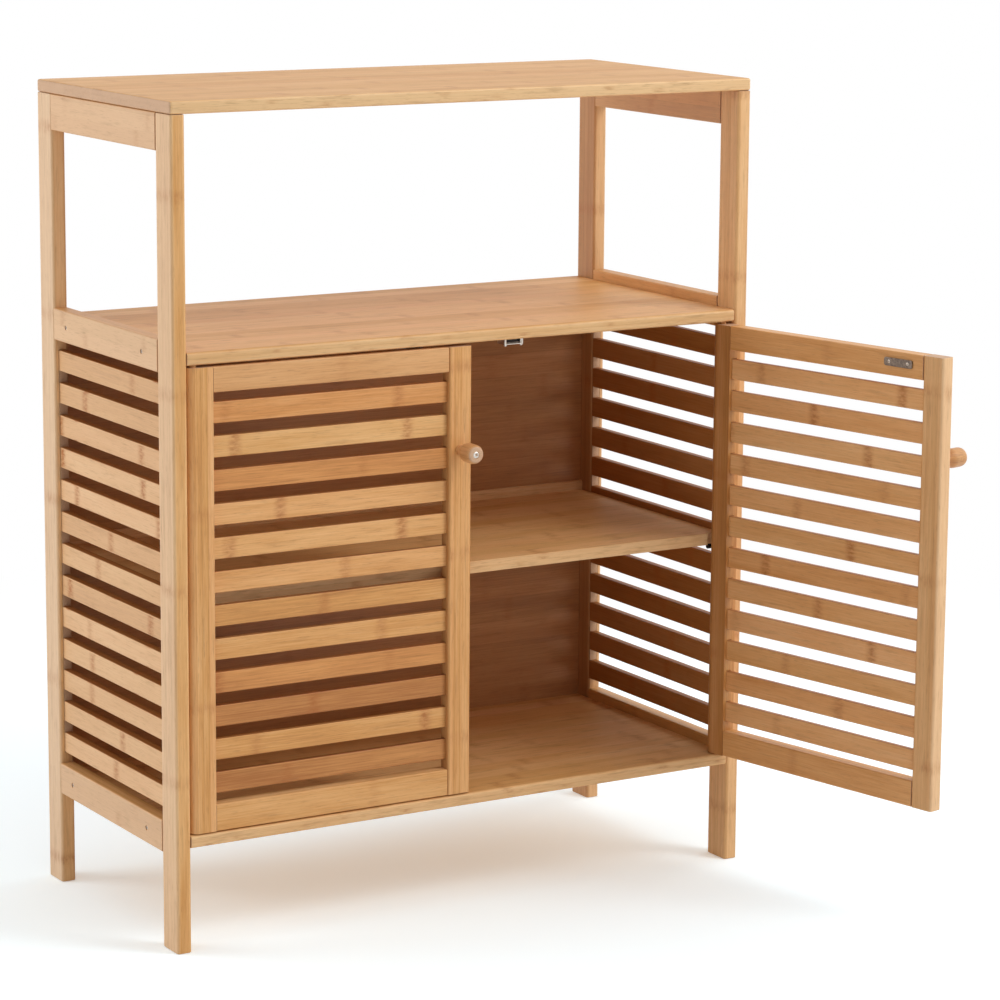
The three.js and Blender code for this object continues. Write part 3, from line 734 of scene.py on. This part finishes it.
def metalMaterial(name, colour, settings):
    # plated or painted metal: cloudy sheen, faint scratches and a slightly uneven skin
    material = bpy.data.materials.new(name)
    material.use_nodes = True
    tree = material.node_tree
    tree.nodes.clear()
    where = addNode(tree, "ShaderNodeTexCoord", {}, {}).outputs["Object"]
    cloud = addNode(tree, "ShaderNodeTexNoise", {}, {"Vector": where, "Scale": 0.35 / mm, "Detail": 3.0})
    scratch = addNode(tree, "ShaderNodeMapping", {}, {"Vector": where, "Rotation": (0.4, 0.2, 0.5),
                                                      "Scale": (0.25 / mm, 4 / mm, 4 / mm)})
    lines = addNode(tree, "ShaderNodeTexNoise", {},
                    {"Vector": scratch.outputs[0], "Scale": 1.0, "Detail": 2.0})
    line = addNode(tree, "ShaderNodeMapRange", {"interpolation_type": "SMOOTHSTEP"},
                   {"Value": lines, "From Min": 0.5, "From Max": 0.75})
    patch = addNode(tree, "ShaderNodeMapRange", {"interpolation_type": "SMOOTHSTEP"},
                    {"Value": cloud, "From Min": 0.3, "From Max": 0.7})
    tint = addNode(tree, "ShaderNodeMix", {"data_type": "RGBA"},
                   {0: patch, 6: hexToLinear(colour), 7: hexToLinear(settings["shade"])})
    worn = addNode(tree, "ShaderNodeMath", {"operation": "MULTIPLY"}, {0: line, 1: settings["wear"]})
    tint = addNode(tree, "ShaderNodeMix", {"data_type": "RGBA"},
                   {0: worn, 6: tint, 7: hexToLinear(settings["bare"])})
    rough = addNode(tree, "ShaderNodeMath", {"operation": "MULTIPLY_ADD"},
                    {0: cloud, 1: 0.2, 2: settings["rough"]})
    rough = addNode(tree, "ShaderNodeMath", {"operation": "MULTIPLY_ADD"}, {0: line, 1: -0.06, 2: rough})
    bump = addNode(tree, "ShaderNodeBump", {}, {"Height": line, "Strength": 0.3, "Distance": 0.02 * mm})
    skin = addNode(tree, "ShaderNodeBsdfPrincipled", {},
                   {"Base Color": tint, "Roughness": rough, "Normal": bump, "Metallic": settings["metallic"]})
    addNode(tree, "ShaderNodeOutputMaterial", {}, {"Surface": skin})
    return material


# screws and catches, turned or pressed steel with a bright zinc plate: a pale, slightly warm, cloudy glint
brightZinc = metalMaterial("bright zinc plate", "#e2dcd4", {"shade": "#c9c1b6", "bare": "#f2eee8",
                                                            "wear": 0.4, "rough": 0.26, "metallic": 1.0})
# strike and pole plates, stamped steel browned in a bath: a dull grey brown, rubbed lighter in fine lines
brownedSteel = metalMaterial("browned steel", "#8f857b", {"shade": "#6a6058", "bare": "#b9afa4", "wear": 0.5,
                                                          "rough": 0.34, "metallic": 1.0})
# shelf pins, turned and blacked steel: near black with a soft glint
blackedSteel = metalMaterial("blacked steel", "#3a3330", {"shade": "#241f1c", "bare": "#7d756e", "wear": 0.4,
                                                          "rough": 0.4, "metallic": 1.0})
# magnets, pressed and fired ferrite: matt charcoal
ferrite = metalMaterial("dark ferrite magnet", "#2b2826", {"shade": "#1d1b1a", "bare": "#4a4643", "wear": 0.3,
                                                           "rough": 0.55, "metallic": 0.0})

sideScrew = {  # millimetres
    "profile": [(1.2, -3.2), (1.2, -1.8), (1.8, -0.9), (2.05, -0.45), (2.0, -0.15), (1.75, 0)],
    "crossReach": 2.4, "crossWidth": 0.7, "crossDepth": 1.5,
    "sunk": 0.8, "holeRadius": 2.3, "holeDepth": 2.6, "holeRim": 0.3,
    "lowered": 0.5, "fromFront": (33.6, 203.6),  # below the rail's middle, and from its front end
    "spinStart": 20, "spinStep": 37,  # degrees, since no two crosses stop alike
}


def sinkScrewHoles(rail, name, outward, settings):
    # bores the holes, rounds their rims and returns where the heads go
    low, high = boxOf(name)
    face = low.x if outward < 0 else high.x
    level = (low.z + high.z) / 2 - settings["lowered"]
    places = [low.y + far for far in settings["fromFront"]]
    for place in places:
        bpy.ops.object.select_all(action="DESELECT")
        bpy.ops.mesh.primitive_cylinder_add(vertices=32, radius=settings["holeRadius"] * mm,
                                            depth=settings["holeDepth"] * 2 * mm,
                                            location=(face * mm, place * mm, level * mm),
                                            rotation=(0, math.radians(90), 0))
        subtract(rail, placed(bpy.context.object))
    mesh = editMesh(rail, "EDGE")

    def onRim(edge):
        for vert in edge.verts:
            if abs(vert.co.x - face * mm) > 0.05 * mm:
                return False
            reach = min(math.hypot(vert.co.y - y * mm, vert.co.z - level * mm) for y in places)
            if abs(reach - settings["holeRadius"] * mm) > 0.05 * mm:
                return False
        return True

    pick(rail, mesh.edges, onRim)
    bpy.ops.mesh.bevel(offset=settings["holeRim"] * mm, segments=2, affect="EDGES", clamp_overlap=False)
    leaveEdit()
    return [(face - outward * settings["sunk"], place, level) for place in places]


def addSideScrews(rail, name, master):
    outward = -1 if name.endswith("left") else 1
    turn = Matrix.Rotation(math.radians(90 * outward), 4, "Y")
    for number, place in enumerate(sinkScrewHoles(rail, name, outward, sideScrew)):
        spin = Matrix.Rotation(math.radians(sideScrew["spinStart"] + sideScrew["spinStep"] * number), 4, "Z")
        head = copyTo(master, f"{name}_screw_{number + 1}", place, turn @ spin)
        finished(head, brightZinc, "cabinet")


sideScrewMaster = screwHead("side_screw_master", sideScrew)


def woodPiece(nodeName, body, number):
    settings = dict(woodSettings[familyOf(nodeName)], seed=number, nodeAt=40 + number * 71 % 183,
                    onRightDoor=nodeName.startswith("right_door"))
    settings.update(woodTouches.get(nodeName, {}))
    piece = mergedCopy(nodeName, nodeName + "_bamboo")
    direction = Vector(grainLay[settings["lay"]][0])
    if settings["onRightDoor"]:
        direction = openRightDoor.to_3x3() @ direction
    easeEnds(piece, direction, settings["ease"] * mm, everywhere=nodeName == "inner_shelf")
    if nodeName.startswith(("mid_rail", "bottom_rail")):
        addSideScrews(piece, nodeName, sideScrewMaster)
    smoothShading(piece)
    material = bambooMaterial("lacquered bamboo " + nodeName.replace("_", " "), piece, settings)
    finished(piece, material, body)
    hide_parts(nodeName)
    return piece


wooden = [n for n in sorted(frame["nodes"]) if not any(w in n for w in ("knob", "strike", "catch", "pin"))]
for number, nodeName in enumerate(wooden):
    body = next((d for d in ("left_door", "right_door") if nodeName.startswith(d)), "cabinet")
    woodPiece(nodeName, body, number + 1)
bpy.data.objects.remove(sideScrewMaster)
print("bamboo pieces:", len(wooden))


# Knobs: turned bamboo with its fibres along the axis, so that they end as dots on the face, and a screw

knobSettings = {
    "neckRadius": 5.5, "neckLength": 4, "radius": 9.4, "flareLength": 15,  # millimetres
    "length": 30, "domeLength": 6, "faceRadius": 6.2,
    "dishRadius": 3.3, "dishDepth": 0.7, "sides": 64,
    "screw": {"profile": [(1.3, -3), (2.8, -0.5), (3.1, 0.1), (3.05, 0.35), (2.7, 0.6), (2.0, 0.75)],
              "crossReach": 3.2, "crossWidth": 1.3, "crossDepth": 2.0},
    "spin": {"left_door": 60, "right_door": 25}, "seed": {"left_door": 82, "right_door": 81},
    "wood": {"lay": "knob", "strip": 40, "layer": 6, "tone": -0.14, "fadeAll": 0.15, "nodeAt": -60},
}


def knobProfile(s):
    # a short neck, a flare, a straight grip, a rounded shoulder and a dish for the screw
    points = [(s["neckRadius"] - 0.3, 0), (s["neckRadius"], 0.3), (s["neckRadius"], s["neckLength"])]
    for step in range(1, 11):
        way = step / 10
        points.append((s["neckRadius"] + (s["radius"] - s["neckRadius"]) * (3 * way ** 2 - 2 * way ** 3),
                       s["neckLength"] + (s["flareLength"] - s["neckLength"]) * way))
    points.append((s["radius"], s["length"] - s["domeLength"]))
    for step in range(1, 9):
        way = math.radians(90 * step / 8)
        points.append((s["faceRadius"] + (s["radius"] - s["faceRadius"]) * math.cos(way),
                       s["length"] - s["domeLength"] * (1 - math.sin(way))))
    points += [(s["dishRadius"] + 0.3, s["length"]), (s["dishRadius"], s["length"] - 0.25),
               (s["dishRadius"], s["length"] - s["dishDepth"])]
    return points


def addKnob(door, settings, knobMaster, screwMaster):
    # both are placed by the left knob, whose door is closed, and the right ones are then swung open
    onRight = door == "right_door"
    low, high = boxOf("left_door_knob")
    foot = Vector(((low.x + high.x) / 2, high.y, (low.z + high.z) / 2))
    if onRight:
        foot.x = doorMirror - foot.x
    facingOut = Matrix.Rotation(math.radians(90), 4, "X")
    knob = copyTo(knobMaster, door + "_knob_turned", foot, facingOut)
    screw = copyTo(screwMaster, door + "_knob_screw",
                   foot - Vector((0, settings["length"] - settings["dishDepth"], 0)),
                   facingOut @ Matrix.Rotation(math.radians(settings["spin"][door]), 4, "Z"))
    if onRight:
        openOut(knob)
        openOut(screw)
    smoothShading(knob, 40)
    wood = dict(settings["wood"], seed=settings["seed"][door], onRightDoor=onRight)
    finished(knob, bambooMaterial("turned bamboo " + door.replace("_", " "), knob, wood),
             door)
    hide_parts(door + "_knob")
    finished(screw, brightZinc, door)


knobMasters = (turnedPiece("knob_master", knobProfile(knobSettings), knobSettings["sides"]),
               screwHead("knob_screw_master", knobSettings["screw"]))
for door in ("left_door", "right_door"):
    addKnob(door, knobSettings, *knobMasters)
for master in knobMasters:
    bpy.data.objects.remove(master)
print("knobs turned")


# Strike plates: browned steel with rounded corners and two small screws

strikeSettings = {  # millimetres
    "corner": 2.2, "edge": 0.25, "screwOffset": 11.5,
    "seatRadius": 1.9, "seatDepth": 0.3, "screwSunk": 0.28, "spins": (15, 65),  # degrees
    "screw": {"profile": [(0.8, -1.0), (1.5, -0.5), (1.75, -0.1), (1.6, 0.12), (1.1, 0.25)],
              "crossReach": 1.7, "crossWidth": 0.5, "crossDepth": 0.7},
}


def roundedSlab(name, low, size, corner, edge):
    # a plate whose thin side is Y
    bpy.ops.object.select_all(action="DESELECT")
    bpy.ops.mesh.primitive_cube_add(size=1, location=[(l + s / 2) * mm for l, s in zip(low, size)])
    plate = bpy.context.object
    plate.name = name
    plate.scale = [s * mm for s in size]
    placed(plate)
    mesh = editMesh(plate, "EDGE")
    pick(plate, mesh.edges, lambda e: abs((e.verts[0].co - e.verts[1].co).normalized().y) > 0.9)
    bpy.ops.mesh.bevel(offset=corner * mm, segments=6, affect="EDGES")
    mesh = bmesh.from_edit_mesh(plate.data)
    pick(plate, mesh.edges, lambda e: len(e.link_faces) == 2 and e.calc_face_angle() > math.radians(60))
    bpy.ops.mesh.bevel(offset=edge * mm, segments=2, affect="EDGES")
    leaveEdit()
    return plate


def strikePlate(settings, low, size, screwPlaces):
    # a shallow seat lets each screw's head sit just below the plate's face
    plate = roundedSlab("strike_master", low, size, settings["corner"], settings["edge"])
    for place in screwPlaces:
        bpy.ops.object.select_all(action="DESELECT")
        bpy.ops.mesh.primitive_cylinder_add(vertices=32, radius=settings["seatRadius"] * mm,
                                            depth=settings["seatDepth"] * 2 * mm,
                                            location=[c * mm for c in place],
                                            rotation=(math.radians(90), 0, 0))
        subtract(plate, placed(bpy.context.object))
    smoothShading(plate, 35)
    return plate


def addStrikes(settings):
    # modelled on the closed left door, then copied to the right one and swung open with it
    low, high = boxOf("left_door_strike")
    screwPlaces = [Vector(((low.x + high.x) / 2 + side * settings["screwOffset"], high.y,
                           (low.z + high.z) / 2)) for side in (-1, 1)]
    toRight = Vector((doorMirror - low.x - high.x, 0, 0))
    plateMaster = strikePlate(settings, low, high - low, screwPlaces)
    screwMaster = screwHead("strike_screw_master", settings["screw"])
    inward = Matrix.Rotation(math.radians(-90), 4, "X")
    sunk = Vector((0, -settings["screwSunk"], 0))
    for door, shift in (("left_door", Vector()), ("right_door", toRight)):
        plate = copyTo(plateMaster, door + "_strike_plate", shift)
        pieces = [plate]
        for number, place in enumerate(screwPlaces):
            spin = Matrix.Rotation(math.radians(settings["spins"][number]), 4, "Z")
            pieces.append(copyTo(screwMaster, f"{door}_strike_screw_{number + 1}", place + shift + sunk,
                                 inward @ spin))
        for piece in pieces:
            if door == "right_door":
                openOut(piece)
            finished(piece, brownedSteel if piece is plate else brightZinc, door)
        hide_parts(door + "_strike")
    for master in (plateMaster, screwMaster):
        bpy.data.objects.remove(master)


addStrikes(strikeSettings)
print("strike plates fitted")


# Magnetic catches: a bright shell open to the door, a magnet between two pole plates

catchSettings = {  # millimetres
    "raised": 1.6,  # the shell's underside above the ears' lower ends
    "cheek": 1.9, "floor": 1.1, "pocket": 11, "edge": 0.4,
    "earRadius": 1.25, "earBulge": 0.45,
    "magnet": (13.5, 8, 4.6), "magnetSunk": 3.2, "magnetLowered": 0.1, "magnetCorner": 0.5, "magnetEdge": 0.3,
    "poleThickness": 0.9, "poleReach": 10.2, "poleSunk": 1.6, "poleMargin": 0.2,
    "poleCorner": 0.3, "poleEdge": 0.15,
}


def catchShell(name, s, low, high):
    # a block whose front is inset and pushed in to make the pocket
    size = high - low - Vector((0, 0, s["raised"]))
    bpy.ops.object.select_all(action="DESELECT")
    bpy.ops.mesh.primitive_cube_add(size=1, location=(high - size / 2) * mm)
    shell = bpy.context.object
    shell.name = name
    shell.scale = size * mm
    placed(shell)
    mesh = editMesh(shell, "FACE")
    pick(shell, mesh.faces, lambda face: face.normal.y < -0.9)
    bpy.ops.mesh.inset(thickness=s["floor"] * mm)
    wide = (size.x - 2 * s["cheek"]) / (size.x - 2 * s["floor"])
    bpy.ops.transform.resize(value=(wide, 1, 1))
    bpy.ops.mesh.extrude_region_move(TRANSFORM_OT_translate={"value": (0, s["pocket"] * mm, 0)})
    mesh = bmesh.from_edit_mesh(shell.data)
    bpy.ops.mesh.select_mode(type="EDGE")
    pick(shell, mesh.edges, lambda e: len(e.link_faces) == 2 and e.is_convex
         and e.calc_face_angle() > math.radians(60))
    bpy.ops.mesh.bevel(offset=s["edge"] * mm, segments=3, affect="EDGES")
    leaveEdit()
    smoothShading(shell, 35)
    return shell


def catchEar(name, s, low, high):
    # a rounded ear down a front corner, fuller at its lower end
    r, bulge = s["earRadius"], s["earBulge"]
    profile = [(r * 0.5, 0), (r + bulge * 0.6, 0.35), (r + bulge, 1.2), (r + bulge * 0.7, 2.2), (r, 3.4),
               (r, high.z - low.z - 0.1)]
    ear = turnedPiece(name, profile, 32)
    ear.location = (low + Vector((r + bulge, r + bulge, 0))) * mm
    placed(ear)
    smoothShading(ear, 50)
    return ear


def addCatches(s):
    # the left catch is modelled, and the right one copied from it
    name = "magnetic_catch_left"
    low, high = boxOf(name)
    toRight = boxOf("magnetic_catch_right")[0] - low
    shell = catchShell(name + "_shell", s, low, high)
    ear = catchEar(name + "_ear_left", s, low, high)
    otherEar = copyTo(ear, name + "_ear_right", (high.x - low.x - 2 * (s["earRadius"] + s["earBulge"]), 0, 0))
    width, depth, height = s["magnet"]
    thickness, margin = s["poleThickness"], s["poleMargin"]
    left = (low.x + high.x - width) / 2
    bottom = (low.z + s["raised"] + high.z - height) / 2 - s["magnetLowered"]
    magnet = roundedSlab(name + "_magnet", (left, low.y + s["magnetSunk"], bottom),
                         (width, depth, height), s["magnetCorner"], s["magnetEdge"])
    pole = roundedSlab(name + "_pole_1", (left - margin, low.y + s["poleSunk"], bottom),
                       (width + 2 * margin, s["poleReach"], thickness), s["poleCorner"], s["poleEdge"])
    smoothShading(magnet, 35)
    smoothShading(pole, 35)
    otherPole = copyTo(pole, name + "_pole_2", (0, 0, height - thickness))
    finishes = {shell: (brightZinc, "catch_zinc"), ear: (brightZinc, "catch_zinc"),
                otherEar: (brightZinc, "catch_zinc"), magnet: (ferrite, "dark_steel"),
                pole: (brownedSteel, "dark_steel"), otherPole: (brownedSteel, "dark_steel")}
    for piece, (material, slot) in finishes.items():
        right = copyTo(piece, piece.name.replace("catch_left", "catch_right"), toRight)
        for each in (piece, right):
            finished(each, material, "cabinet")
            if piece is shell:
                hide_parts(each.name.replace("_shell", ""))


addCatches(catchSettings)
print("catches fitted")


# Shelf pins: blacked steel pegs with a fine groove where they leave the leg and a rounded nose

pinSettings = {  # millimetres
    "radius": 2.5, "noseRadius": 1.9, "nose": 0.7, "groove": 0.25, "sides": 40,
    "grooveAt": 7.3, "grooveWidth": 0.5,  # from the end that is buried in the leg
}


def pinProfile(s, length):
    r, groove = s["radius"], s["grooveAt"]
    return [(r - 0.3, 0), (r, 0.3), (r, groove), (r - s["groove"], groove + 0.2),
            (r - s["groove"], groove + 0.2 + s["grooveWidth"]), (r, groove + 0.4 + s["grooveWidth"]),
            (r, length - s["nose"]), (r - 0.15, length - s["nose"] * 0.55),
            (s["noseRadius"], length - 0.1), (s["noseRadius"] * 0.6, length)]


def addPins(nodeNames, s):
    low, high = boxOf(nodeNames[0])
    master = turnedPiece("pin_master", pinProfile(s, high.x - low.x), s["sides"])
    smoothShading(master, 35)
    for nodeName in nodeNames:
        low, high = boxOf(nodeName)
        leftSide = low.x < 0
        turn = Matrix.Rotation(math.radians(90 if leftSide else -90), 4, "Y")
        start = (low.x if leftSide else high.x, (low.y + high.y) / 2, (low.z + high.z) / 2)
        pin = copyTo(master, nodeName + "_peg", start, turn)
        finished(pin, blackedSteel, "cabinet")
        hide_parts(nodeName)
    bpy.data.objects.remove(master)


addPins(sorted(n for n in frame["nodes"] if n.startswith("shelf_pin")), pinSettings)
print("shelf pins fitted")
